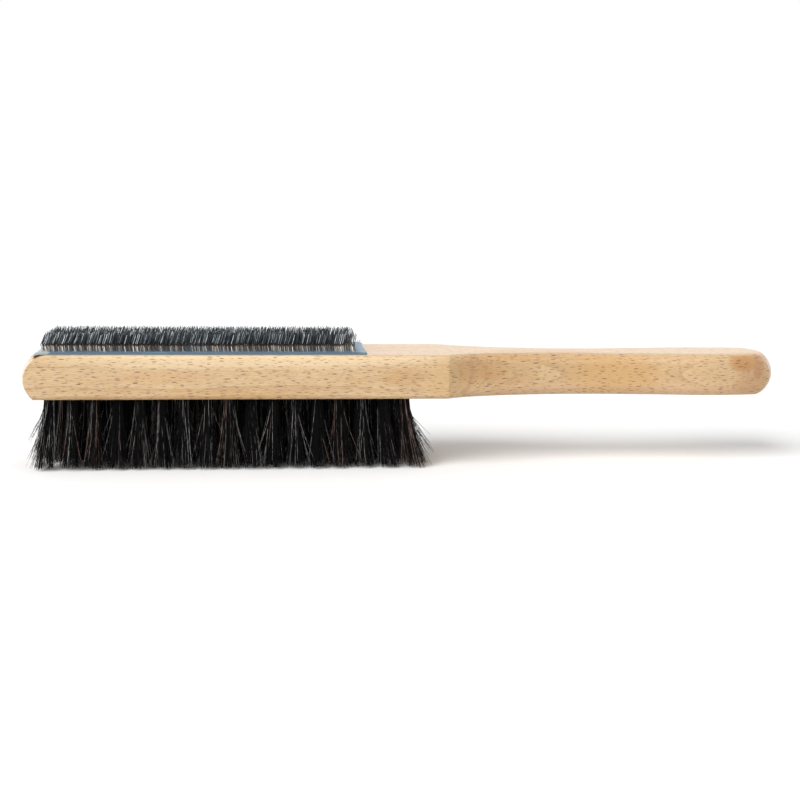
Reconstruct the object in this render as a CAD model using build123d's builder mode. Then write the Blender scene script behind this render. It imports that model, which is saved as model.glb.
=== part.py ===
"""Two-sided hand brush: horsehair tufts under a beech stock, steel-wire card clothing on top.

Millimetres. +X runs from the head to the handle, +Z up. The origin is under the middle of the brush, on the
surface that the hair tips stand on.
"""
import os

from build123d import *

# Stock: one beech plank, the head and the handle in one piece
total_length = 300.0
head_length = 164.3
head_width = 39.0
thickness = 17.2
head_edge_round = 1.5
head_bow_radius = 73.0  # the head's free end, in plan
head_nose_height = 7.6  # where that end is longest, above the underside
head_nose_lower_radius = 10.0
handle_bow_radius = 20.0
handle_nose_sag = 4.8
handle_nose_round = 3.4
handle_thickness = 16.8  # along the belly and at the end

# Handle sections: distance from the shoulder, width, thickness, corner radius
handle_sections = [
    (0.0, 39.0, 17.2, 1.5),
    (5.7, 33.8, 17.2, 2.2),
    (14.2, 28.8, 17.1, 2.9),
    (25.2, 25.0, 17.0, 3.5),
    (39.2, 22.4, 16.9, 4.0),
    (57.2, 21.6, 16.8, 4.2),
    (79.2, 24.6, 16.8, 4.2),
    (97.2, 28.8, 16.8, 4.2),
    (107.2, 30.2, 16.8, 4.2),
    (116.2, 29.8, 16.8, 4.2),
    (123.2, 28.2, 16.8, 4.2),
    (129.2, 25.2, 16.8, 4.2),
    (135.7, 19.0, 16.8, 4.2),
]

# Horsehair trim
hair_length = 27.6
tuft_columns = 17
tuft_rows = 4
tuft_pitch_x = 8.5
tuft_pitch_y = 8.8
first_tuft = 11.4  # from the head's free end to the first column
tuft_radius = 2.1
tuft_hole_depth = 11.0
tuft_tip_radius = 3.9
head_end_lean = 1.8  # how far the end column's tips lean out
handle_end_lean = 4.4
side_lean = 1.4

# Flat wire anchors that pin each tuft's fold in its hole
anchor_length = 5.4
anchor_height = 2.0
anchor_thickness = 0.4
anchor_from_bottom = 0.9

# Card clothing
card_end = 132.4  # from the head's free end
card_roll_angle = 26.0  # how far the cloth's back follows the rolled end
card_sanding = 13.0  # degrees less for each millimetre above its back
card_width = 35.0
cloth_thickness = 0.5
face_thickness = 0.5
face_bevel = 0.35
wire_rows = 24
wire_row_pitch = 1.42
wire_thickness = 0.3
wire_start = 9.1  # from the head's free end
wire_run = 119.0
knee_height = 2.8  # above the rubber face
knee_set_back = 0.4
tip_height = 6.7
tip_lean = 1.0

# Worked out from the sizes above
head_end_x = -total_length / 2
handle_end_x = total_length / 2
shoulder_x = head_end_x + head_length
underside_z = hair_length
middle_z = underside_z + thickness / 2
top_z = underside_z + thickness
handle_middle_z = underside_z + handle_thickness / 2
handle_top_z = underside_z + handle_thickness
roll_radius = thickness - head_nose_height
roll_x = head_end_x + roll_radius
anchor_z = underside_z + tuft_hole_depth - anchor_from_bottom - anchor_height / 2
card_end_x = head_end_x + card_end
card_top_z = top_z + cloth_thickness + face_thickness
first_tuft_x = head_end_x + first_tuft
tuft_half_run = tuft_pitch_x * (tuft_columns - 1) / 2
tuft_half_width = tuft_pitch_y * (tuft_rows - 1) / 2


def save(part, name):
    """Labels a finished piece and writes it as its own STEP file."""
    part.label = name
    export_step(part, f"parts/{name}.step")
    print(f"{name:16s} solids {len(part.solids()):3d}  volume {part.volume:10.1f} mm3")


def head_nose():
    """The form of the head's free end: bowed in plan, rolled over from the top face, and tucked in below."""
    nose_z = underside_z + head_nose_height
    tuck = head_nose_lower_radius - (head_nose_lower_radius**2 - head_nose_height**2) ** 0.5
    with BuildPart() as nose:
        with BuildSketch(Plane.XZ):
            with BuildLine():
                roll = JernArc((head_bow_radius, nose_z), (0, 1), roll_radius, 90)
                heel = (head_bow_radius - tuck, underside_z)
                RadiusArc(heel, (head_bow_radius, nose_z), -head_nose_lower_radius)
                Polyline(roll @ 1, (0, top_z), (0, underside_z), heel)
            make_face()
        revolve(axis=Axis.Z)
    return nose.part.moved(Location((head_end_x + head_bow_radius, 0, 0)))


def handle_nose():
    """The form of the handle's end: bowed in plan, round over the plank's thickness."""
    rim = handle_bow_radius - handle_nose_sag
    with BuildPart() as nose:
        with BuildSketch(Plane.XZ):
            with BuildLine():
                ThreePointArc((rim, underside_z), (handle_bow_radius, handle_middle_z), (rim, handle_top_z))
                Polyline((rim, handle_top_z), (0, handle_top_z), (0, underside_z), (rim, underside_z))
            make_face()
        revolve(axis=Axis.Z)
        fillet(nose.edges().filter_by(GeomType.CIRCLE).group_by(Axis.Z)[-1], radius=handle_nose_round)
        fillet(nose.edges().filter_by(GeomType.CIRCLE).group_by(Axis.Z)[0], radius=handle_nose_round)
    return nose.part.moved(Location((handle_end_x - handle_bow_radius, 0, 0)))


def head_solid():
    """The head: a plank with its long edges rounded, and its free end brought to the nose's form."""
    reach_length = head_length - head_bow_radius
    with BuildPart() as reach:
        with Locations((shoulder_x, 0, middle_z)):
            Box(reach_length, head_width, thickness, align=(Align.MAX, Align.CENTER, Align.CENTER))
        add(head_nose())
    with BuildPart() as head:
        with BuildSketch(Plane.YZ.offset(head_end_x)):
            with Locations((0, middle_z)):
                RectangleRounded(head_width, thickness, head_edge_round)
        extrude(amount=head_length)
        add(reach.part, mode=Mode.INTERSECT)
    return head.part


def handle_solid():
    """The handle: a waist behind the shoulder, a belly for the palm and a rounded end."""
    grip_length = total_length - head_length - handle_bow_radius
    with BuildPart() as reach:
        with Locations((shoulder_x, 0, middle_z)):
            Box(grip_length, head_width, thickness, align=(Align.MIN, Align.CENTER, Align.CENTER))
        add(handle_nose())
    with BuildPart() as handle:
        for distance, width, depth, corner in handle_sections:
            with BuildSketch(Plane.YZ.offset(shoulder_x + distance)):
                with Locations((0, underside_z + depth / 2)):
                    RectangleRounded(width, depth, corner)
        loft()
        add(reach.part, mode=Mode.INTERSECT)
    return handle.part


def tuft_places():
    """The middle of each tuft hole, column by column from the head's free end, every second row staggered."""
    columns = []
    for column in range(tuft_columns):
        places = []
        for row in range(tuft_rows):
            staggered = row % 2 == 1
            if staggered and column == tuft_columns - 1:
                continue
            x = first_tuft_x + column * tuft_pitch_x + (tuft_pitch_x / 2 if staggered else 0)
            places.append((x, row * tuft_pitch_y - tuft_half_width))
        columns.append(places)
    return columns


def anchor_solids(places):
    """One flat wire anchor across each tuft hole, its ends bitten into the wood."""
    with BuildPart() as anchors:
        with Locations([(x, y, anchor_z) for x, y in places]):
            Box(anchor_thickness, anchor_length, anchor_height)
    return anchors.part


def stock_solid(places, anchors):
    """The stock, with its tuft holes and the bites of the anchors."""
    with BuildPart() as stock:
        add(head_solid())
        add(handle_solid())
        with Locations([(x, y, underside_z) for x, y in places]):
            Cylinder(
                tuft_radius,
                tuft_hole_depth,
                align=(Align.CENTER, Align.CENTER, Align.MIN),
                mode=Mode.SUBTRACT,
            )
        add(anchors, mode=Mode.SUBTRACT)
    return stock.part


def tuft_solid(x, y):
    """One tuft: straight in its hole, then flaring and leaning out to its tip."""
    share = (x - first_tuft_x) / tuft_half_run - 1
    reach = handle_end_lean if share > 0 else head_end_lean
    tip_x = x + reach * share**3
    tip_y = y + side_lean * y / tuft_half_width
    with BuildPart() as tuft:
        with BuildSketch(Plane.XY.offset(underside_z)):
            with Locations((x, y)):
                Circle(tuft_radius)
        with BuildSketch():
            with Locations((tip_x, tip_y)):
                Circle(tuft_tip_radius)
        loft()
        with Locations((x, y, underside_z)):
            Cylinder(tuft_radius, tuft_hole_depth, align=(Align.CENTER, Align.CENTER, Align.MIN))
        with Locations((x, y, anchor_z)):
            Box(anchor_thickness, anchor_length, anchor_height, mode=Mode.SUBTRACT)
    return tuft.part


def card_layer(low, high, rows, bevel=0.0):
    """One layer of the card clothing between two heights above the wood, rolled down and sanded at its end."""
    under_angle = card_roll_angle - card_sanding * low
    over_angle = card_roll_angle - card_sanding * high
    with BuildPart() as layer:
        with BuildSketch(Plane.XZ):
            with BuildLine():
                under = JernArc((roll_x, top_z + low), (-1, 0), roll_radius + low, under_angle)
                over = JernArc((roll_x, top_z + high), (-1, 0), roll_radius + high, over_angle)
                Line(under @ 1, over @ 1)
                Polyline(over @ 0, (card_end_x, top_z + high), (card_end_x, top_z + low), under @ 0)
            make_face()
        extrude(amount=card_width / 2, both=True)
        if bevel:
            chamfer(layer.edges().filter_by(Axis.Y).group_by(Axis.X)[-1].sort_by(Axis.Z)[-1], length=bevel)
        for row in rows:
            add(row, mode=Mode.SUBTRACT)
    return layer.part


def wire_row_solid(number):
    """One row of kneed wires as a thin closed fence, from the back of the cloth to the tips."""
    y = (number - (wire_rows - 1) / 2) * wire_row_pitch
    start = head_end_x + wire_start
    end = start + wire_run
    knee_z = card_top_z + knee_height
    tip_z = card_top_z + tip_height
    with BuildPart() as fence:
        with BuildSketch(Plane.XZ.offset(-y)):
            with BuildLine():
                Polyline(
                    (start, top_z),
                    (start, card_top_z),
                    (start - knee_set_back, knee_z),
                    (start + tip_lean, tip_z),
                    (end + tip_lean, tip_z),
                    (end - knee_set_back, knee_z),
                    (end, card_top_z),
                    (end, top_z),
                    close=True,
                )
            make_face()
        extrude(amount=wire_thickness / 2, both=True)
    return fence.part


os.makedirs("parts", exist_ok=True)

columns = tuft_places()
every_place = [place for column in columns for place in column]
all_anchors = anchor_solids(every_place)
save(all_anchors, "tuft_anchors")
save(stock_solid(every_place, all_anchors), "beech_stock")
for number, column in enumerate(columns, start=1):
    with BuildPart() as tufts:
        for x, y in column:
            add(tuft_solid(x, y))
    save(tufts.part, f"hair_tufts_{number:02d}")

wires = [wire_row_solid(number) for number in range(wire_rows)]
for number, wire_row in enumerate(wires, start=1):
    save(wire_row, f"wire_row_{number:02d}")
save(card_layer(0, cloth_thickness, wires), "card_cloth")
save(card_layer(cloth_thickness, cloth_thickness + face_thickness, wires, face_bevel), "card_face")
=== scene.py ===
import bpy
import bmesh
import random
from math import cos, sin, pi, radians, sqrt
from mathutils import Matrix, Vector, noise


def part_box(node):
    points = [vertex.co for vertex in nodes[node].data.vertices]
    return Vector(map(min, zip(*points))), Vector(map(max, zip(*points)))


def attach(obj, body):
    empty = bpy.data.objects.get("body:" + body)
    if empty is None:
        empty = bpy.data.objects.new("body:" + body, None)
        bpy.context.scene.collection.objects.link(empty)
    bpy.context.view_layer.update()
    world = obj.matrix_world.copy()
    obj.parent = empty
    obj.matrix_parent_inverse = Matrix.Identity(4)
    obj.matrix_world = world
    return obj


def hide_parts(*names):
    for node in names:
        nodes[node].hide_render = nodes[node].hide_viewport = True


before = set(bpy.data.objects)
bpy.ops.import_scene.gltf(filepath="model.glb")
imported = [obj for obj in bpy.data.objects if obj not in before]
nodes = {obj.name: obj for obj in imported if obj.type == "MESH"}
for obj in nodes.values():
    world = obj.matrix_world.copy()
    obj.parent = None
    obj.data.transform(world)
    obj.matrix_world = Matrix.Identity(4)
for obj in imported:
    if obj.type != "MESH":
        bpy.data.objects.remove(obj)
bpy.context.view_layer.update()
mm = 0.001
print("frame loaded,", len(nodes), "nodes")

# small helpers shared by every piece


def addPiece(name, mesh, replaced):
    piece = bpy.data.objects.new(name, mesh)
    bpy.context.scene.collection.objects.link(piece)
    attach(piece, "root")
    if replaced:
        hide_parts(*replaced)
    return piece


def meshFromBmesh(name, bm, material):
    mesh = bpy.data.meshes.new(name)
    bm.to_mesh(mesh)
    bm.free()
    mesh.materials.append(material)
    return mesh


# many thin strands as one mesh; each strand is (points, radii, number of its material)
def strandMesh(name, strands, thickness, roundness, materials):
    line = bpy.data.curves.new(name + "Line", "CURVE")
    line.dimensions = "3D"
    line.bevel_depth = thickness / 2
    line.bevel_resolution = roundness
    line.use_fill_caps = True
    for material in materials:
        line.materials.append(material)
    for points, radii, finish in strands:
        spline = line.splines.new("POLY")
        spline.points.add(len(points) - 1)
        spline.points.foreach_set("co", [value for point in points for value in (*point, 1.0)])
        spline.points.foreach_set("radius", radii)
        spline.material_index = finish
    holder = bpy.data.objects.new(name + "Line", line)
    mesh = bpy.data.meshes.new_from_object(holder)
    bpy.data.objects.remove(holder)
    bpy.data.curves.remove(line)
    mesh.name = name
    mesh.shade_smooth()
    return mesh


def newTree(name):
    material = bpy.data.materials.new(name)
    material.use_nodes = True
    tree = material.node_tree
    tree.nodes.clear()
    shader = tree.nodes.new("ShaderNodeBsdfPrincipled")
    output = tree.nodes.new("ShaderNodeOutputMaterial")
    tree.links.new(shader.outputs["BSDF"], output.inputs["Surface"])
    return material, tree, shader


def mathNode(tree, operation, first, second=None, third=None, clamp=False):
    node = tree.nodes.new("ShaderNodeMath")
    node.operation = operation
    node.use_clamp = clamp
    for socket, value in zip(node.inputs, (first, second, third)):
        if value is None:
            continue
        if isinstance(value, (int, float)):
            socket.default_value = value
        else:
            tree.links.new(value, socket)
    return node.outputs[0]


def times(tree, first, second):
    return mathNode(tree, "MULTIPLY", first, second)


def minus(tree, first, second):
    return mathNode(tree, "SUBTRACT", first, second)


def scaled(tree, value, factor, start):
    return mathNode(tree, "MULTIPLY_ADD", value, factor, start)


def absolute(tree, value):
    return mathNode(tree, "ABSOLUTE", value)


# turns a value into 0 to 1 between two limits, with soft ends
def softStep(tree, value, low, high):
    node = tree.nodes.new("ShaderNodeMapRange")
    node.interpolation_type = "SMOOTHSTEP"
    tree.links.new(value, node.inputs["Value"])
    node.inputs["From Min"].default_value = low
    node.inputs["From Max"].default_value = high
    return node.outputs["Result"]


def mixColour(tree, mask, first, second, blend="MIX"):
    node = tree.nodes.new("ShaderNodeMix")
    node.data_type = "RGBA"
    node.blend_type = blend
    for name, value in (("Factor_Float", mask), ("A_Color", first), ("B_Color", second)):
        socket = next(s for s in node.inputs if s.identifier == name)
        if isinstance(value, (int, float)):
            socket.default_value = value
        elif isinstance(value, tuple):
            socket.default_value = (*value, 1.0)
        else:
            tree.links.new(value, socket)
    return next(s for s in node.outputs if s.identifier == "Result_Color")


# object coordinates stretched so that one unit is the given length in millimetres along each axis
def stretched(tree, sizes, start=(0, 0, 0)):
    place = tree.nodes.new("ShaderNodeTexCoord")
    mapping = tree.nodes.new("ShaderNodeMapping")
    tree.links.new(place.outputs["Object"], mapping.inputs["Vector"])
    mapping.inputs["Scale"].default_value = [1 / (size * mm) for size in sizes]
    mapping.inputs["Location"].default_value = start
    return mapping.outputs["Vector"]


def noiseNode(tree, vector, detail=2.0, rough=0.5, distortion=0.0):
    node = tree.nodes.new("ShaderNodeTexNoise")
    tree.links.new(vector, node.inputs["Vector"])
    node.inputs["Scale"].default_value = 1.0
    node.inputs["Detail"].default_value = detail
    node.inputs["Roughness"].default_value = rough
    node.inputs["Distortion"].default_value = distortion
    return node.outputs["Fac"]


def bumpNode(tree, height, strength, depth, shader):
    node = tree.nodes.new("ShaderNodeBump")
    node.inputs["Strength"].default_value = strength
    node.inputs["Distance"].default_value = depth
    tree.links.new(height, node.inputs["Height"])
    tree.links.new(node.outputs["Normal"], shader.inputs["Normal"])


def objectXyz(tree):
    place = tree.nodes.new("ShaderNodeTexCoord")
    split = tree.nodes.new("ShaderNodeSeparateXYZ")
    tree.links.new(place.outputs["Object"], split.inputs["Vector"])
    return split.outputs


def surfaceNormal(tree):
    geometry = tree.nodes.new("ShaderNodeNewGeometry")
    split = tree.nodes.new("ShaderNodeSeparateXYZ")
    tree.links.new(geometry.outputs["Normal"], split.inputs["Vector"])
    return split.outputs


# effects that several finishes share, as node groups


def newGroup(name, inputs, outputs):
    group = bpy.data.node_groups.new(name, "ShaderNodeTree")
    for label, kind in inputs:
        group.interface.new_socket(name=label, in_out="INPUT", socket_type=kind)
    for label, kind in outputs:
        group.interface.new_socket(name=label, in_out="OUTPUT", socket_type=kind)
    return group, group.nodes.new("NodeGroupInput"), group.nodes.new("NodeGroupOutput")


def useGroup(tree, group, **values):
    node = tree.nodes.new("ShaderNodeGroup")
    node.node_tree = group
    for label, value in values.items():
        socket = node.inputs[label]
        if isinstance(value, tuple):
            socket.default_value = (*value, 1.0)
        elif isinstance(value, (int, float)):
            socket.default_value = value
        else:
            tree.links.new(value, socket)
    return node.outputs


# long streaks that run along a strand or a fibre
def makeStreakGroup():
    group, enter, leave = newGroup(
        "streaks",
        [
            ("Place", "NodeSocketVector"),
            ("Dark", "NodeSocketColor"),
            ("Light", "NodeSocketColor"),
            ("Contrast", "NodeSocketFloat"),
        ],
        [("Color", "NodeSocketColor"), ("Mask", "NodeSocketFloat")],
    )
    broad = noiseNode(group, enter.outputs["Place"], 3.0, 0.6)
    centred = mathNode(group, "SUBTRACT", broad, 0.5)
    mask = mathNode(group, "MULTIPLY_ADD", centred, enter.outputs["Contrast"], 0.5, clamp=True)
    colour = mixColour(group, mask, enter.outputs["Dark"], enter.outputs["Light"])
    group.links.new(colour, leave.inputs["Color"])
    group.links.new(mask, leave.inputs["Mask"])
    return group


# slow drift of tone over a piece, for wood, rubber, cloth and floor alike
def makeDriftGroup():
    group, enter, leave = newGroup(
        "toneDrift",
        [
            ("Place", "NodeSocketVector"),
            ("Color", "NodeSocketColor"),
            ("Other", "NodeSocketColor"),
            ("Low", "NodeSocketFloat"),
            ("High", "NodeSocketFloat"),
        ],
        [("Color", "NodeSocketColor")],
    )
    broad = noiseNode(group, enter.outputs["Place"], 2.0, 0.5, 0.3)
    ramp = group.nodes.new("ShaderNodeMapRange")
    ramp.interpolation_type = "SMOOTHSTEP"
    group.links.new(broad, ramp.inputs["Value"])
    group.links.new(enter.outputs["Low"], ramp.inputs["From Min"])
    group.links.new(enter.outputs["High"], ramp.inputs["From Max"])
    colour = mixColour(group, ramp.outputs["Result"], enter.outputs["Color"], enter.outputs["Other"])
    group.links.new(colour, leave.inputs["Color"])
    return group


streaks = makeStreakGroup()
toneDrift = makeDriftGroup()
print("shared effects made")

# beech: the stock keeps its own shape and gets its wood; lengths are in millimetres

beech = {
    "pale": (0.655, 0.478, 0.276),
    "warm": (0.600, 0.392, 0.190),
    "driftSize": (45, 10, 8),
    "driftRange": (0.42, 0.70),
    "ringTone": (0.400, 0.235, 0.100),
    "lineTone": (0.300, 0.165, 0.070),
    "lineShare": 0.20,
    "ringWidth": 1.6,
    "ringStart": 10.9,  # how far from the middle plane a ring ends, halfway up the side
    "ringCurve": 0.038,  # how the rings turn away above and below that, per millimetre
    "ringMiddle": 36.6,
    "wander": 2.2,
    "wanderSize": (38, 14, 9),
    "ringFadeSize": (26, 6, 6),
    "fibreTone": (0.78, 0.72, 0.64),
    "fibreSize": (9, 0.30, 0.30),
    "fibreContrast": 2.6,
    "fibreShare": 0.72,
    "hairlineTone": (0.64, 0.53, 0.43),
    "hairlineSize": (3.2, 0.22, 0.16),
    "hairlineContrast": 3.6,
    "hairlineShare": 0.56,
    # patches where the wood is paler, darker or redder, some its own tone and some painted light and shade: x, z,
    # half length, half height, tone, share
    "toneAndLightPatches": [
        # painted light: the upper sides paler, as lit from above
        (-62, 42.8, 84.0, 3.4, (0.80, 0.63, 0.40), 0.58),
        (86, 35, 80.0, 13.0, (0.47, 0.29, 0.125), 0.26),
        # painted shade: the lower sides of the handle darker
        (88, 30.2, 75.0, 3.2, (0.56, 0.35, 0.20), 0.50),
        # painted shade: this and the next three darken the shoulder, which turns away from the light
        (16, 36, 11.0, 10.0, (0.52, 0.32, 0.125), 0.38),
        (24, 39, 8.0, 5.5, (0.42, 0.225, 0.085), 0.58),
        (33, 38, 6.0, 5.0, (0.42, 0.225, 0.075), 0.45),
        (44, 38, 7.0, 6.0, (0.47, 0.280, 0.110), 0.30),
        (82, 36, 20.0, 9.0, (0.50, 0.290, 0.105), 0.66),
        # painted shade: this and the next two darken the narrowing handle end, turned away from the light
        (138, 33, 8.0, 6.0, (0.40, 0.220, 0.100), 0.60),
        (134, 41.5, 6.2, 4.4, (0.38, 0.180, 0.050), 0.90),
        (140.8, 39.5, 2.6, 6.0, (0.34, 0.150, 0.060), 0.65),
        (-96, 36, 20.0, 2.0, (0.56, 0.330, 0.155), 0.50),
        (24.6, 44.3, 1.9, 0.30, (0.14, 0.125, 0.110), 0.65),
    ],
    "fleckTone": (0.075, 0.028, 0.009),
    "fleckShare": 0.92,
    # layers of flecks: cell length and height, start, least reach, more reach, lowest and highest strength
    "fleckLayers": [
        (6.8, 0.98, 3.3, 0.085, 0.090, 0.40, 1.0),
        (5.2, 0.78, 7.7, 0.075, 0.090, 0.15, 0.90),
    ],
    "grainBend": 2.6,
    "grainBendSize": (30, 12, 12),
    # the noses' end wood: paler, partly its own tone and partly a painted sheen
    "endGrainSheenTone": (0.70, 0.61, 0.54),
    "endGrainSheenShare": 0.48,
    "poreSize": (0.9, 0.45, 0.45),
    "poreShare": 0.55,
    # a curved tool mark beside the shoulder, painted as a darker arc: partly the mark itself, partly painted shade
    # in its hollow
    "markShadeTone": (0.33, 0.195, 0.095),
    "markMiddle": (8.6, 38.5),
    "markRadius": 15.4,
    "markEdge": (1.3, 0.1),  # how far beside its line the mark starts and is full
    "markFrom": (2.0, 8.0),  # and how far behind its middle
    "markShare": 0.34,
    "roughness": 0.44,
    "specular": 0.55,
    "coat": 0.24,
    "coatRoughness": 0.35,
}


# growth rings lie nearly flat through the plank, so the waist and the belly cut them into arcs and ovals
def ringColour(tree, xyz):
    place = stretched(tree, beech["driftSize"])
    low, high = beech["driftRange"]
    drift = useGroup(tree, toneDrift, Place=place, Color=beech["pale"], Other=beech["warm"], Low=low, High=high)
    above = minus(tree, xyz["Z"], beech["ringMiddle"] * mm)
    bow = times(tree, times(tree, above, above), beech["ringCurve"] / mm)
    depth = minus(tree, times(tree, xyz["Y"], -1.0), bow)
    wander = noiseNode(tree, stretched(tree, beech["wanderSize"], (2, 7, 1)), 2.0)
    depth = scaled(tree, minus(tree, wander, 0.5), beech["wander"] * mm, depth)
    ring = mathNode(tree, "DIVIDE", minus(tree, depth, beech["ringStart"] * mm), beech["ringWidth"] * mm)
    phase = mathNode(tree, "FRACT", ring)
    fade = noiseNode(tree, stretched(tree, beech["ringFadeSize"], (5, 2, 8)), 1.0)
    lateWood = times(tree, softStep(tree, phase, 0.15, 0.97), scaled(tree, fade, 0.62, -0.05))
    colour = mixColour(tree, lateWood, drift["Color"], beech["ringTone"])
    line = times(tree, softStep(tree, phase, 0.84, 0.96), softStep(tree, phase, 1.0, 0.97))
    return mixColour(tree, times(tree, line, beech["lineShare"]), colour, beech["lineTone"])


# paints the patches on the sides, the wood's own tone and painted light and shade alike
def addToneAndLightPatches(tree, xyz, onSide, colour):
    for x, z, halfLength, halfHeight, tone, share in beech["toneAndLightPatches"]:
        offX = mathNode(tree, "DIVIDE", minus(tree, xyz["X"], x * mm), halfLength * mm)
        offZ = mathNode(tree, "DIVIDE", minus(tree, xyz["Z"], z * mm), halfHeight * mm)
        far = mathNode(tree, "ADD", times(tree, offX, offX), times(tree, offZ, offZ))
        patch = times(tree, softStep(tree, far, 1.5, 0.1), share)
        colour = mixColour(tree, times(tree, patch, onSide), colour, tone)
    return colour


# short dark ray flecks along the grain: one pattern for the sides, one for the top and the underside
def fleckMask(tree, xyz, normal):
    bend = noiseNode(tree, stretched(tree, beech["grainBendSize"], (3, 1, 4)), 1.0)
    level = softStep(tree, absolute(tree, normal["Z"]), 0.70, 0.71)
    across = mathNode(tree, "ADD", xyz["Z"], times(tree, level, minus(tree, xyz["Y"], xyz["Z"])))
    across = scaled(tree, bend, beech["grainBend"] * mm, across)
    flecks = None
    for length, height, start, reachLeast, reachMore, lowest, highest in beech["fleckLayers"]:
        place = tree.nodes.new("ShaderNodeCombineXYZ")
        tree.links.new(scaled(tree, xyz["X"], 1 / (length * mm), start), place.inputs["X"])
        tree.links.new(scaled(tree, across, 1 / (height * mm), start), place.inputs["Y"])
        cells = tree.nodes.new("ShaderNodeTexVoronoi")
        cells.voronoi_dimensions = "2D"
        tree.links.new(place.outputs["Vector"], cells.inputs["Vector"])
        cells.inputs["Scale"].default_value = 1.0
        cells.inputs["Randomness"].default_value = 0.9
        tint = tree.nodes.new("ShaderNodeSeparateColor")
        tree.links.new(cells.outputs["Color"], tint.inputs["Color"])
        reach = scaled(tree, tint.outputs["Red"], reachMore, reachLeast)
        inside = softStep(tree, minus(tree, reach, cells.outputs["Distance"]), -0.02, 0.04)
        fleck = times(tree, inside, scaled(tree, tint.outputs["Green"], highest - lowest, lowest))
        flecks = fleck if flecks is None else mathNode(tree, "MAXIMUM", flecks, fleck)
    return flecks


# end wood of the two noses, dotted with cut pores and paler: partly the end grain's own tone, partly a painted
# sheen where the noses catch the light
def addEndWoodAndSheen(tree, normal, colour):
    facing = softStep(tree, absolute(tree, normal["X"]), 0.62, 0.80)
    pores = tree.nodes.new("ShaderNodeTexVoronoi")
    tree.links.new(stretched(tree, beech["poreSize"]), pores.inputs["Vector"])
    pores.inputs["Scale"].default_value = 1.0
    dots = times(tree, softStep(tree, pores.outputs["Distance"], 0.34, 0.12), beech["poreShare"])
    endColour = mixColour(tree, dots, beech["endGrainSheenTone"], beech["fleckTone"])
    return mixColour(tree, times(tree, facing, beech["endGrainSheenShare"]), colour, endColour)


# darkens the tool mark's arc, partly as the mark and partly as painted shade
def addToolMarkShade(tree, xyz, normal, colour):
    middleX, middleZ = beech["markMiddle"]
    across = minus(tree, xyz["X"], middleX * mm)
    up = minus(tree, xyz["Z"], middleZ * mm)
    reach = mathNode(tree, "SQRT", mathNode(tree, "ADD", times(tree, across, across), times(tree, up, up)))
    away = absolute(tree, minus(tree, reach, beech["markRadius"] * mm))
    start, full = beech["markEdge"]
    mark = softStep(tree, away, start * mm, full * mm)
    start, full = beech["markFrom"]
    behind = softStep(tree, across, start * mm, full * mm)
    side = softStep(tree, absolute(tree, normal["Y"]), 0.5, 0.75)
    mark = times(tree, mark, times(tree, side, behind))
    return mixColour(tree, times(tree, mark, beech["markShare"]), colour, beech["markShadeTone"])


def makeBeech():
    material, tree, shader = newTree("beechWood")
    xyz = objectXyz(tree)
    normal = surfaceNormal(tree)
    onSide = softStep(tree, absolute(tree, normal["Y"]), 0.30, 0.75)
    colour = ringColour(tree, xyz)
    # long fine fibres, and finer and darker ones over them
    masks = []
    for kind in ("fibre", "hairline"):
        place = stretched(tree, beech[kind + "Size"])
        dark, contrast, share = beech[kind + "Tone"], beech[kind + "Contrast"], beech[kind + "Share"]
        grain = useGroup(tree, streaks, Place=place, Dark=dark, Light=(1.0, 1.0, 1.0), Contrast=contrast)
        colour = mixColour(tree, share, colour, grain["Color"], "MULTIPLY")
        masks.append(grain["Mask"])
    colour = addToneAndLightPatches(tree, xyz, onSide, colour)
    flecks = fleckMask(tree, xyz, normal)
    colour = mixColour(tree, times(tree, flecks, beech["fleckShare"]), colour, beech["fleckTone"])
    colour = addEndWoodAndSheen(tree, normal, colour)
    colour = addToolMarkShade(tree, xyz, normal, colour)
    tree.links.new(colour, shader.inputs["Base Color"])
    tree.links.new(scaled(tree, masks[0], 0.10, beech["roughness"] - 0.05), shader.inputs["Roughness"])
    bumpNode(tree, minus(tree, times(tree, masks[0], 0.35), flecks), 0.30, 0.08 * mm, shader)
    shader.inputs["Specular IOR Level"].default_value = beech["specular"]
    shader.inputs["Coat Weight"].default_value = beech["coat"]
    shader.inputs["Coat Roughness"].default_value = beech["coatRoughness"]
    return material


def giveFinish(node, material):
    for place in node.material_slots:
        place.material = material


giveFinish(nodes["beech_stock"], makeBeech())
print("beech done")

# steel finishes: the anchors inside and the card's wires

steel = {
    "anchorDark": (0.34, 0.34, 0.35),
    "anchorLight": (0.66, 0.66, 0.67),
    "anchorSize": (0.3, 3.0, 0.2),
    "anchorContrast": 1.8,
    # a wire's dark and light tone above its knee, and its tone below, for the shaded, the plain and the highlit
    # wires: painted shade and painted highlight copies of one steel, with a painted reflection below the knee
    "wireTones": {
        "Shaded": ((0.012, 0.016, 0.019), (0.046, 0.056, 0.064), (0.12, 0.112, 0.105)),
        "Plain": ((0.036, 0.044, 0.051), (0.20, 0.225, 0.24), (0.42, 0.37, 0.32)),
        "Bright": ((0.16, 0.19, 0.205), (0.60, 0.64, 0.65), (0.80, 0.73, 0.64)),
    },
    "wireSize": (0.6, 0.6, 3.2),
    "wireContrast": 3.0,
    # painted shade round the wires' knees
    "kneeShade": (0.030, 0.019, 0.014),
    "kneeShadeFade": (3.3, 2.7),  # heights above the face where the knee's painted shade starts and is full
    "belowSheenFade": (2.35, 1.75),  # and those of the painted reflection below the knee
    "roughness": 0.34,
}


def makeAnchorSteel():
    material, tree, shader = newTree("anchorSteel")
    place = stretched(tree, steel["anchorSize"])
    dark, light = steel["anchorDark"], steel["anchorLight"]
    tone = useGroup(tree, streaks, Place=place, Dark=dark, Light=light, Contrast=steel["anchorContrast"])
    tree.links.new(tone["Color"], shader.inputs["Base Color"])
    tree.links.new(scaled(tree, tone["Mask"], 0.2, 0.28), shader.inputs["Roughness"])
    shader.inputs["Metallic"].default_value = 1.0
    bumpNode(tree, tone["Mask"], 0.2, 0.02 * mm, shader)
    return material


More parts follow.
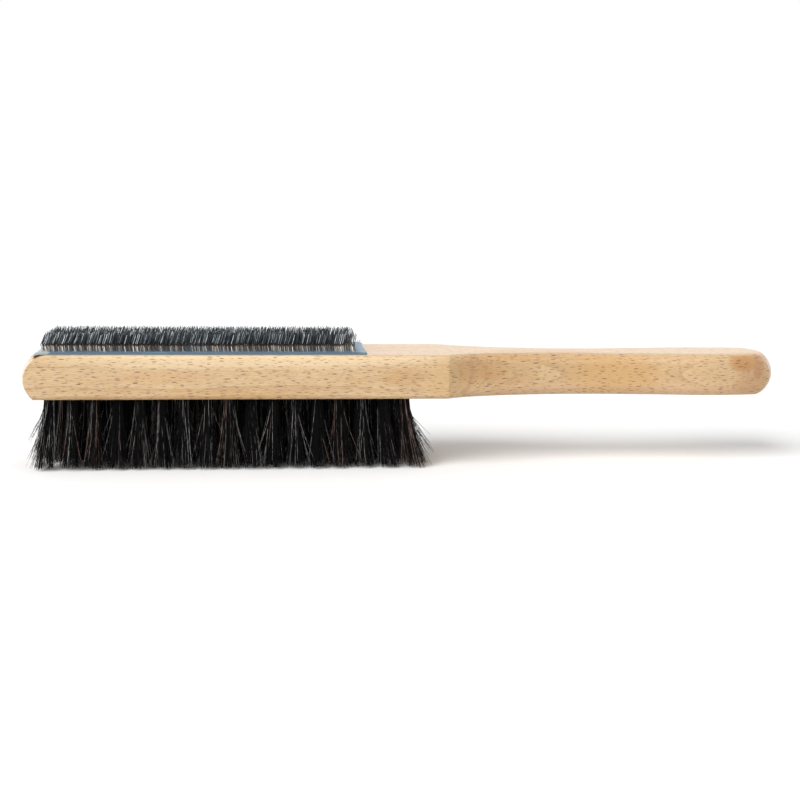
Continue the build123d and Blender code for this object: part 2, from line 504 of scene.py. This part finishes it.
card = {
    "width": 35.0 * mm,
    "end": -17.6 * mm,
    "clothThickness": 0.5 * mm,
    "faceThickness": 0.5 * mm,
    "rollX": -140.4 * mm,
    "rollRadius": 9.6 * mm,
    "rollAngle": 26.0,
    "sanding": 13.0,  # degrees less for each millimetre above the cloth's back
    "bevel": 0.35 * mm,
    "rows": 24,
    "rowPitch": 1.42 * mm,
    "wirePitch": 1.55 * mm,
    "wireStart": -140.9 * mm,
    "wireRun": 119.0 * mm,
    "wireThickness": 0.32 * mm,
    "kneeHeight": 2.8 * mm,
    "kneeSetBack": 0.4 * mm,
    "tipHeight": 6.7 * mm,
    "leanAtHead": 1.40 * mm,
    "leanAtHandle": 0.75 * mm,
    "ragged": 0.52 * mm,
    "placeSpread": 0.03,  # the wires' random spreads, in millimetres: along the row, at the knee and at the tip
    "kneeSpread": (0.04, 0.05, 0.05),
    "tipSpread": 0.12,
    "drift": 0.28 * mm,  # how far neighbouring tips lean together, along and across
    "sway": 0.18 * mm,
    "inCloth": 1.2 * mm,
    "cutSway": 0.08 * mm,
}
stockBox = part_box("beech_stock")
topZ = stockBox[1].z
clothTop = card["clothThickness"]
faceTop = clothTop + card["faceThickness"]
cardTop = topZ + faceTop


def makeWireSteel(name):
    material, tree, shader = newTree("cardWire" + name)
    dark, light, belowSheen = steel["wireTones"][name]
    place = stretched(tree, steel["wireSize"])
    tone = useGroup(tree, streaks, Place=place, Dark=dark, Light=light, Contrast=steel["wireContrast"])
    above = minus(tree, objectXyz(tree)["Z"], cardTop)
    colour = tone["Color"]
    # painted shade round the knee, and a painted cream reflection on the lower legs below it
    for heights, toneHere in ((steel["kneeShadeFade"], steel["kneeShade"]), (steel["belowSheenFade"], belowSheen)):
        reached = softStep(tree, above, heights[0] * mm, heights[1] * mm)
        colour = mixColour(tree, reached, colour, toneHere)
    tree.links.new(colour, shader.inputs["Base Color"])
    tree.links.new(scaled(tree, tone["Mask"], 0.14, steel["roughness"] - 0.06), shader.inputs["Roughness"])
    shader.inputs["Metallic"].default_value = 0.85
    bumpNode(tree, tone["Mask"], 0.15, 0.02 * mm, shader)
    return material


giveFinish(nodes["tuft_anchors"], makeAnchorSteel())
wireSteels = [makeWireSteel(name) for name in steel["wireTones"]]
print("steel done")

# card clothing: cloth plies below, blue rubber face above, rolled down and sanded at the head's end

rubber = {
    "blue": (0.068, 0.125, 0.175),
    "bright": (0.095, 0.220, 0.310),
    "driftSize": (14, 5, 3),
    "driftRange": (0.45, 0.75),
    "grit": (0.06, 0.12, 0.18),
    "gritSize": (0.5, 0.5, 0.5),
    "gritShare": 0.45,
    "cut": (0.27, 0.44, 0.56),
    "cutFade": (4.2, 1.0),  # how far from the cut end that tone starts and is full
    "cutShare": 0.45,
    "sanded": (0.400, 0.460, 0.490),
    "sandedShare": 0.85,
    "sandedWobble": 1.2,
    "sandedNear": -137.6,  # where the sanding starts at the near edge
    "sandedSlant": 0.16,  # how much nearer the end it starts for each millimetre across
    "roughness": 0.55,
}
cotton = {
    "cream": (0.78, 0.68, 0.46),
    "shade": (0.56, 0.45, 0.27),
    "driftSize": (5, 2, 2),
    "driftRange": (0.4, 0.75),
    "threadSize": (0.45, 0.45, 0.45),
    "threadShare": 0.35,
    "plies": 3.0,
    "plyShare": 0.6,
    # the dark of the glue between the plies and, in the lowest quarter, painted shade as well
    "glueAndShade": (0.105, 0.055, 0.028),
    "glueShadeShare": 0.8,
    "edge": (0.095, 0.175, 0.240),
    "edgeSanded": (0.360, 0.400, 0.410),
    "edgeFade": (-143.6, -142.6),  # where along the brush the blue edge starts and is full
    "sandedFade": (-137.8, -139.0),
}


def makeRubber():
    material, tree, shader = newTree("blueRubber")
    place = stretched(tree, rubber["driftSize"])
    low, high = rubber["driftRange"]
    drift = useGroup(tree, toneDrift, Place=place, Color=rubber["blue"], Other=rubber["bright"], Low=low, High=high)
    grit = noiseNode(tree, stretched(tree, rubber["gritSize"]), 3.0, 0.65)
    colour = mixColour(tree, times(tree, grit, rubber["gritShare"]), drift["Color"], rubber["grit"])
    # the head end is sanded thin; there the colour turns a paler grey-blue, starting along a slanting line
    xyz = objectXyz(tree)
    wobble = noiseNode(tree, stretched(tree, (2.2, 3.0, 3.0)), 2.0)
    slant = scaled(tree, xyz["Y"], rubber["sandedSlant"], xyz["X"])
    slant = scaled(tree, wobble, -rubber["sandedWobble"] * mm, slant)
    startLine = (rubber["sandedNear"] - 17.5 * rubber["sandedSlant"] - 0.6) * mm
    sanded = softStep(tree, slant, startLine + 0.5 * mm, startLine - 0.5 * mm)
    colour = mixColour(tree, times(tree, sanded, rubber["sandedShare"]), colour, rubber["sanded"])
    # the cut end by the handle is rubbed lighter too
    start, full = [card["end"] - reach * mm for reach in rubber["cutFade"]]
    cut = times(tree, softStep(tree, xyz["X"], start, full), rubber["cutShare"])
    colour = mixColour(tree, cut, colour, rubber["cut"])
    tree.links.new(colour, shader.inputs["Base Color"])
    tree.links.new(scaled(tree, grit, 0.2, rubber["roughness"] - 0.1), shader.inputs["Roughness"])
    bumpNode(tree, grit, 0.5, 0.08 * mm, shader)
    return material


def makeCotton():
    material, tree, shader = newTree("cottonPlies")
    xyz = objectXyz(tree)
    # height above the wood, measured round the rolled end as well as along the flat
    back = mathNode(tree, "MINIMUM", minus(tree, xyz["X"], card["rollX"]), 0.0)
    rise = minus(tree, xyz["Z"], topZ - card["rollRadius"])
    reach = mathNode(tree, "SQRT", mathNode(tree, "ADD", times(tree, back, back), times(tree, rise, rise)))
    above = mathNode(tree, "DIVIDE", minus(tree, reach, card["rollRadius"]), card["clothThickness"])
    threads = tree.nodes.new("ShaderNodeTexWave")
    tree.links.new(stretched(tree, cotton["threadSize"]), threads.inputs["Vector"])
    threads.bands_direction = "DIAGONAL"
    threads.inputs["Scale"].default_value = 1.0
    threads.inputs["Distortion"].default_value = 1.5
    place = stretched(tree, cotton["driftSize"])
    low, high = cotton["driftRange"]
    drift = useGroup(tree, toneDrift, Place=place, Color=cotton["cream"], Other=cotton["shade"], Low=low, High=high)
    threadTone = times(tree, threads.outputs["Fac"], cotton["threadShare"])
    colour = mixColour(tree, threadTone, drift["Color"], cotton["shade"])
    plyWave = absolute(tree, minus(tree, mathNode(tree, "FRACT", times(tree, above, cotton["plies"])), 0.5))
    plyLine = times(tree, softStep(tree, plyWave, 0.38, 0.47), cotton["plyShare"])
    colour = mixColour(tree, plyLine, colour, cotton["glueAndShade"])
    # the lowest quarter is darker, partly soaked with glue and partly painted shade under the plies
    soakedAndShaded = times(tree, softStep(tree, above, 0.28, 0.16), cotton["glueShadeShare"])
    colour = mixColour(tree, soakedAndShaded, colour, cotton["glueAndShade"])
    # the long cut sides carry the blue of the face
    normal = surfaceNormal(tree)
    side = softStep(tree, absolute(tree, normal["Y"]), 0.5, 0.8)
    start, full = [x * mm for x in cotton["edgeFade"]]
    edge = times(tree, side, softStep(tree, xyz["X"], start, full))
    start, full = [x * mm for x in cotton["sandedFade"]]
    edgeTone = mixColour(tree, softStep(tree, xyz["X"], start, full), cotton["edge"], cotton["edgeSanded"])
    colour = mixColour(tree, edge, colour, edgeTone)
    tree.links.new(colour, shader.inputs["Base Color"])
    tree.links.new(scaled(tree, threads.outputs["Fac"], 0.1, 0.8), shader.inputs["Roughness"])
    bumpNode(tree, threads.outputs["Fac"], 0.6, 0.06 * mm, shader)
    return material


def atUpperEnd(vert, high):
    return abs(vert.co.x - card["end"]) < 1e-7 and abs(vert.co.z - topZ - high) < 1e-7


def cardLayer(name, low, high, material, bevel):
    bm = bmesh.new()
    radius = card["rollRadius"] + low
    wrapped = radians(card["rollAngle"] + 4) * radius
    length = card["end"] - card["rollX"] + wrapped
    bmesh.ops.create_grid(bm, x_segments=96, y_segments=20, size=0.5)
    bmesh.ops.scale(bm, vec=(length, card["width"], 1), verts=bm.verts)
    bmesh.ops.translate(bm, vec=(card["end"] - length / 2, 0, topZ + low), verts=bm.verts)
    # thickness first, then the roll turns the whole layer down
    sheet = bm.faces[:]
    grown = bmesh.ops.extrude_face_region(bm, geom=sheet, use_keep_orig=True)
    raised = [v for v in grown["geom"] if isinstance(v, bmesh.types.BMVert)]
    bmesh.ops.translate(bm, vec=(0, 0, high - low), verts=raised)
    bmesh.ops.recalc_face_normals(bm, faces=bm.faces)
    if bevel:
        corner = [e for e in bm.edges if all(atUpperEnd(v, high) for v in e.verts)]
        bmesh.ops.bevel(bm, geom=corner, offset=bevel, affect="EDGES", segments=1, profile=0.5, material=-1)
    for vert in bm.verts:
        past = card["rollX"] - vert.co.x
        if past > 0:
            angle = past / radius
            lift = card["rollRadius"] + vert.co.z - topZ
            vert.co.x = card["rollX"] - lift * sin(angle)
            vert.co.z = topZ - card["rollRadius"] + lift * cos(angle)
    # the sanded end: one slanting cut through both layers
    lowAngle = radians(card["rollAngle"])
    highAngle = radians(card["rollAngle"] - card["sanding"] * faceTop / mm)
    lowReach = card["rollRadius"]
    highReach = lowReach + faceTop
    foot = Vector((card["rollX"] - lowReach * sin(lowAngle), 0, topZ - lowReach + lowReach * cos(lowAngle)))
    head = Vector((card["rollX"] - highReach * sin(highAngle), 0, topZ - lowReach + highReach * cos(highAngle)))
    slope = (head - foot).normalized()
    outward = Vector((-slope.z, 0, slope.x))
    everything = bm.verts[:] + bm.edges[:] + bm.faces[:]
    cut = bmesh.ops.bisect_plane(bm, geom=everything, plane_co=foot, plane_no=outward, clear_outer=True)
    rim = [e for e in cut["geom_cut"] if isinstance(e, bmesh.types.BMEdge)]
    bmesh.ops.edgeloop_fill(bm, edges=rim)
    # a hand-cut edge is never quite straight
    for vert in bm.verts:
        sway = noise.noise(Vector((vert.co.x * 260, vert.co.y * 260, 3.1))) * card["cutSway"]
        if abs(abs(vert.co.y) - card["width"] / 2) < 1e-6:
            vert.co.y += sway
    bmesh.ops.recalc_face_normals(bm, faces=bm.faces)
    return meshFromBmesh(name, bm, material)


blueRubber = makeRubber()
cottonPlies = makeCotton()
clothMesh = cardLayer("cardCloth", 0.0, clothTop, cottonPlies, 0.0)
clothPiece = addPiece("cardCloth", clothMesh, ["card_cloth"])
faceMesh = cardLayer("cardFace", clothTop, faceTop, blueRubber, card["bevel"])
addPiece("cardFace", faceMesh, ["card_face"])


# a few threads of the cloth have come loose at the far corner by the handle; ranges are in millimetres
thread = {
    "count": 9,
    "thickness": 0.20 * mm,
    "fromEnd": (-1.6, 0.2),
    "fromSide": (0.0, 4.0),
    "rise": 0.35 * mm,
    "length": (1.2, 3.4),
    "curl": (0.2, 0.5),
    "droop": 0.9 * mm,
}


def looseThreads(dice):
    strands = []
    for number in range(thread["count"]):
        footX = card["end"] + dice.uniform(*thread["fromEnd"]) * mm
        footY = card["width"] / 2 - dice.uniform(*thread["fromSide"]) * mm
        foot = Vector((footX, footY, topZ + thread["rise"]))
        heading = Vector((dice.uniform(-0.1, 0.9), dice.uniform(-0.2, 0.8), dice.uniform(0.6, 1.6))).normalized()
        length = dice.uniform(*thread["length"]) * mm
        curl = dice.uniform(*thread["curl"]) * mm
        phase = dice.uniform(0, 2 * pi)
        points = []
        for step in range(9):
            t = step / 8
            droop = Vector((0, 0, -thread["droop"] * t * t))
            swirl = Vector((cos(phase + 5 * t), sin(phase + 5 * t), 0)) * curl * t
            points.append(tuple(foot + heading * length * t + droop + swirl))
        strands.append((points, [1.0] * 6 + [0.9, 0.75, 0.5], 0))
    return strands


threadMesh = strandMesh("looseThreads", looseThreads(random.Random(77)), thread["thickness"], 1, [cottonPlies])
addPiece("looseThreads", threadMesh, None)
print("card cloth and face done")

# card wires: every kneed wire by itself, row by row


def wireRow(row, dice):
    y = (row - (card["rows"] - 1) / 2) * card["rowPitch"]
    count = round(card["wireRun"] / card["wirePitch"])
    pitch = card["wireRun"] / count
    offset = pitch * ((0.35 + 0.61 * row) % 1)  # the rows are set in a slanting order
    strands = []
    for number in range(count):
        x = card["wireStart"] + offset + number * pitch + dice.gauss(0, card["placeSpread"]) * mm
        share = (x - card["wireStart"]) / card["wireRun"]
        lean = card["leanAtHead"] + (card["leanAtHandle"] - card["leanAtHead"]) * share
        drift = noise.noise(Vector((x * 95, y * 150, 0.7))) * card["drift"]
        sway = noise.noise(Vector((x * 140, y * 190, 8.3))) * card["sway"]
        kneeX = x - card["kneeSetBack"] + dice.gauss(0, card["kneeSpread"][0]) * mm
        kneeY = y + dice.gauss(0, card["kneeSpread"][1]) * mm
        tipX = kneeX + lean + drift + dice.gauss(0, card["tipSpread"]) * mm
        tipY = y + sway + dice.gauss(0, card["tipSpread"]) * mm
        tipZ = cardTop + card["tipHeight"] - abs(dice.gauss(0, 0.5)) * card["ragged"]
        kneeZ = cardTop + card["kneeHeight"] + dice.gauss(0, card["kneeSpread"][2]) * mm
        points = [
            (x, y, cardTop - card["inCloth"]),
            (x, y, cardTop),
            (kneeX, kneeY, kneeZ),
            ((kneeX + tipX) / 2 + 0.08 * mm, (kneeY + tipY) / 2, (kneeZ + tipZ) / 2),
            (tipX, tipY, tipZ),
        ]
        finish = dice.choice((0, 0, 0, 0, 1, 1, 2))  # shaded, plain or highlit: painted shade and painted highlight copies of one steel
        strands.append((points, [1.0, 1.0, 1.0, 0.95, 0.7], finish))
    return strands


for row in range(card["rows"]):
    dice = random.Random(500 + row)
    name = f"wireRow{row + 1:02d}"
    mesh = strandMesh(name, wireRow(row, dice), card["wireThickness"], 1, wireSteels)
    addPiece(name, mesh, [f"wire_row_{row + 1:02d}"])
print("card wires done")

# horsehair: every tuft is a bundle of single hairs that come out of its hole and flare to their tips

hair = {
    "columns": 17,
    "rows": 4,
    "pitchX": 8.5 * mm,
    "pitchY": 8.8 * mm,
    "firstX": -138.6 * mm,
    "rootRadius": 1.95 * mm,
    "tipRadius": 4.2 * mm,
    "length": 27.6 * mm,
    "inHole": 8.6 * mm,
    "headLean": 1.8 * mm,
    "handleLean": 4.4 * mm,
    "sideLean": 1.4 * mm,
    "perTuft": 225,
    "thickness": 0.19 * mm,
    "clumps": 9,
    "clumpPull": 0.50,
    "wave": 0.45 * mm,
    "strays": 18,
    "loose": 0.3,  # share of the hairs whose tips lie away from where their roots would send them
    "spread": (0.65, 0.6),  # the tips' random spread along and across, in millimetres
    "strayReach": (6.5, 3.0),  # how much further a stray's tip can lie, along and across
    "short": 0.08,  # share of the hairs that end above the others
    "shortTips": (1.5, 9.0),
    "sideLimit": 20.0 * mm,
    "endLimit": -149.0 * mm,
    # length of the streaks along each hair that carry its painted highlights
    "glintStreakSize": (0.32, 0.32, 5.0),
    # frayed hairs for each end tuft: how many, how far out, tip heights, where along the hair they leave the tuft
    "headEnd": [(62, (1.6, 5.8), (0.2, 8.0), (0.05, 0.5)), (17, (4.0, 8.4), (2.0, 13.0), (0.1, 0.4))],
    "handleEnd": [(26, (4.5, 7.6), (0.3, 6.0), (0.2, 0.5)), (7, (8.0, 12.4), (3.0, 9.5), (0.28, 0.45))],
}
# for each tone of hair: dark, light, roughness and gloss; the light tone lies in short streaks along each hair as
# painted highlights where strands bend, so ash hairs are black hairs with painted glints, brown hairs brown with
# painted highlights
hairTones = {
    "black": ((0.0012, 0.0012, 0.0014), (0.0050, 0.0048, 0.0052), 0.46, 0.07),
    "ashGlint": ((0.006, 0.006, 0.008), (0.470, 0.460, 0.455), 0.44, 0.22),
    "brown": ((0.013, 0.008, 0.007), (0.340, 0.225, 0.185), 0.46, 0.20),
}


def makeHair(name):
    dark, light, roughness, gloss = hairTones[name]
    material, tree, shader = newTree(name + "Hair")
    # streaks along the hair: painted highlights between dark stretches
    tone = useGroup(tree, streaks, Place=stretched(tree, hair["glintStreakSize"]), Dark=dark, Light=light, Contrast=3.0)
    tree.links.new(tone["Color"], shader.inputs["Base Color"])
    tree.links.new(scaled(tree, tone["Mask"], 0.12, roughness - 0.06), shader.inputs["Roughness"])
    shader.inputs["Specular IOR Level"].default_value = gloss
    bumpNode(tree, tone["Mask"], 0.2, 0.02 * mm, shader)
    return material


def hairPath(root, tip, dice, bend=1.35, lean=0.0, leave=0.0):
    points = [(root.x, root.y, hair["length"] + hair["inHole"])]
    phaseX, phaseY = dice.uniform(0, 2 * pi), dice.uniform(0, 2 * pi)
    turns = dice.uniform(0.4, 1.4)
    for step in range(6):
        t = step / 5
        flare = max(0.0, (t - leave) / (1 - leave)) ** bend
        wave = hair["wave"] * t * (1.2 - t)
        x = root.x + lean * t ** 1.35 + (tip.x - root.x - lean) * flare + wave * sin(phaseX + 2 * pi * turns * t)
        y = root.y + (tip.y - root.y) * flare + wave * sin(phaseY + 2 * pi * turns * t)
        z = hair["length"] + (tip.z - hair["length"]) * t
        points.append((x, y, z))
    return points


# a hair's thickness at its seven points, full in the wood and thin at the tip
def hairWidths(thick, fifth):
    return [thick] * 4 + [thick * fifth, thick * 0.8, thick * 0.45]


def keptInside(tip, endLimit):
    tip.y = max(-hair["sideLimit"], min(hair["sideLimit"], tip.y))
    tip.x = max(endLimit, tip.x)


def tuftHairs(x, y, dice, brownShare, ashGlintShare):
    half = (hair["columns"] - 1) * hair["pitchX"] / 2
    share = (x - hair["firstX"]) / half - 1
    lean = (hair["handleLean"] if share > 0 else hair["headLean"]) * share ** 3
    sideShare = y / (hair["pitchY"] * 1.5)
    middle = Vector((x + lean, y + hair["sideLean"] * sideShare, 0))
    clumps = []
    for number in range(hair["clumps"]):
        angle = 2 * pi * (number + dice.uniform(-0.3, 0.3)) / hair["clumps"]
        reach = hair["tipRadius"] * sqrt(dice.uniform(0.08, 1.0))
        clumps.append(Vector((cos(angle) * reach, sin(angle) * reach, dice.uniform(0, 1.1) * mm)))
    strands = []
    for number in range(hair["perTuft"]):
        angle, reach = dice.uniform(0, 2 * pi), sqrt(dice.random())
        offset = Vector((cos(angle) * reach, sin(angle) * reach, 0))
        root = Vector((x, y, 0)) + offset * hair["rootRadius"]
        if dice.random() < hair["loose"]:
            angle, reach = dice.uniform(0, 2 * pi), sqrt(dice.random())
            offset = Vector((cos(angle) * reach, sin(angle) * reach, 0))
        spread = offset * hair["tipRadius"]
        nearest = min(clumps, key=lambda clump: (clump - spread).length)
        spread = spread.lerp(nearest, hair["clumpPull"] * dice.uniform(0.4, 1.2))
        spread += Vector((dice.gauss(0, hair["spread"][0]), dice.gauss(0, hair["spread"][1]), 0)) * mm
        stray = number < hair["strays"]
        if stray:
            along, across = hair["strayReach"]
            spread += Vector((dice.uniform(-along, along), dice.uniform(-across, across), 0)) * mm
        tip = middle + spread
        tip.z = nearest.z + abs(dice.gauss(0, 0.4)) * mm
        if dice.random() < hair["short"]:
            tip.z = dice.uniform(*hair["shortTips"]) * mm
        keptInside(tip, hair["endLimit"])
        tone = dice.random() * (0.35 if stray else 1.0)
        finish = 2 if tone < brownShare else 1 if tone < brownShare + ashGlintShare else 0
        thick = dice.uniform(0.7, 1.15) * (0.66 if finish else 1.0)
        strands.append((hairPath(root, tip, dice), hairWidths(thick, 0.95), finish))
    return strands


# hairs that fray the two ends of the trim: a fringe close to the tufts, and a few that stand further off
def endStrays(x, y, direction, dice):
    lean = hair["handleLean"] if direction > 0 else -hair["headLean"]
    strands = []
    for count, outward, heights, leaves in hair["handleEnd" if direction > 0 else "headEnd"]:
        for number in range(count):
            root = Vector((x + direction * dice.uniform(0.4, 1.9) * mm, y + dice.uniform(-1.7, 1.7) * mm, 0))
            tipX = root.x + direction * dice.uniform(*outward) * mm
            tip = Vector((tipX, root.y + dice.uniform(-3.5, 3.5) * mm, dice.uniform(*heights) * mm))
            keptInside(tip, hair["endLimit"] - 0.2 * mm)
            thick = dice.uniform(0.75, 1.15)
            path = hairPath(root, tip, dice, 1.1, lean, dice.uniform(*leaves))
            strands.append((path, hairWidths(thick, 0.9), dice.choice((0, 0, 0, 1))))
    return strands


hairMaterials = [makeHair(name) for name in hairTones]
for column in range(hair["columns"]):
    dice = random.Random(40 + column)
    strands = []
    for row in range(hair["rows"]):
        staggered = row % 2 == 1
        if staggered and column == hair["columns"] - 1:
            continue
        x = hair["firstX"] + (column + (0.5 if staggered else 0)) * hair["pitchX"]
        y = (row - (hair["rows"] - 1) / 2) * hair["pitchY"]
        strands += tuftHairs(x, y, dice, dice.choice((0.01, 0.02, 0.13)), dice.choice((0.05, 0.08, 0.13)))
        if column == 0 and not staggered:
            strands += endStrays(x, y, -1, dice)
        if column == hair["columns"] - 1:
            strands += endStrays(x, y, 1, dice)
    name = f"hairColumn{column + 1:02d}"
    mesh = strandMesh(name, strands, hair["thickness"], 0, hairMaterials)
    addPiece(name, mesh, [f"hair_tufts_{column + 1:02d}"])
print("horsehair done")

# studio: plain pale floor, soft light, camera

studio = {
    "floorSize": 6.0,
    "floorTone": (0.97, 0.97, 0.97),
    "floorOther": (0.955, 0.955, 0.96),
    "floorDrift": (400, 400, 400),
    "worldSeen": 1.0,
    "worldLight": 0.5,
    "worldGloss": 1.7,
    "sunFrom": (-0.58, -0.56, 0.64),
    "sunPower": 3.1,
    "sunSpread": 45,
    "cameraPlace": (-60.78 * mm, -533.36 * mm, 108.95 * mm),
    "cameraTurn": (81.03, -0.751, -6.10),
    "lens": 60.75,
}


def makeFloor():
    material, tree, shader = newTree("paleFloor")
    place = stretched(tree, studio["floorDrift"])
    tone, other = studio["floorTone"], studio["floorOther"]
    drift = useGroup(tree, toneDrift, Place=place, Color=tone, Other=other, Low=0.4, High=0.6)
    tree.links.new(drift["Color"], shader.inputs["Base Color"])
    shader.inputs["Roughness"].default_value = 0.9
    shader.inputs["Specular IOR Level"].default_value = 0.1
    bm = bmesh.new()
    bmesh.ops.create_grid(bm, x_segments=4, y_segments=4, size=studio["floorSize"])
    bmesh.ops.translate(bm, vec=(0, 0, -0.0002), verts=bm.verts)
    floor = bpy.data.objects.new("floor", meshFromBmesh("floor", bm, material))
    bpy.context.scene.collection.objects.link(floor)


makeFloor()
sun = bpy.data.lights.new("keySun", "SUN")
sun.energy = studio["sunPower"]
sun.angle = radians(studio["sunSpread"])
sunHolder = bpy.data.objects.new("keySun", sun)
sunHolder.rotation_euler = Vector(studio["sunFrom"]).to_track_quat("Z", "Y").to_euler()
bpy.context.scene.collection.objects.link(sunHolder)
world = bpy.data.worlds.new("studioWorld")
world.use_nodes = True
sky = world.node_tree
background = sky.nodes["Background"]
background.inputs["Color"].default_value = (1, 1, 1, 1)
# the sky is brighter in reflections than it is to the eye, and weaker as a light
rays = sky.nodes.new("ShaderNodeLightPath")
seen = studio["worldSeen"]
dimmer = scaled(sky, rays.outputs["Is Diffuse Ray"], studio["worldLight"] - seen, seen)
dimmer = scaled(sky, rays.outputs["Is Glossy Ray"], studio["worldGloss"] - seen, dimmer)
sky.links.new(dimmer, background.inputs["Strength"])
bpy.context.scene.world = world
bpy.context.scene.view_settings.view_transform = "Standard"

cameraData = bpy.data.cameras.new("camera")
cameraData.lens = studio["lens"]
cameraData.sensor_width = 36
cameraData.clip_start = 0.01
camera = bpy.data.objects.new("camera", cameraData)
camera.location = studio["cameraPlace"]
camera.rotation_euler = [radians(angle) for angle in studio["cameraTurn"]]
bpy.context.scene.collection.objects.link(camera)
bpy.context.scene.camera = camera

print("scene ready")
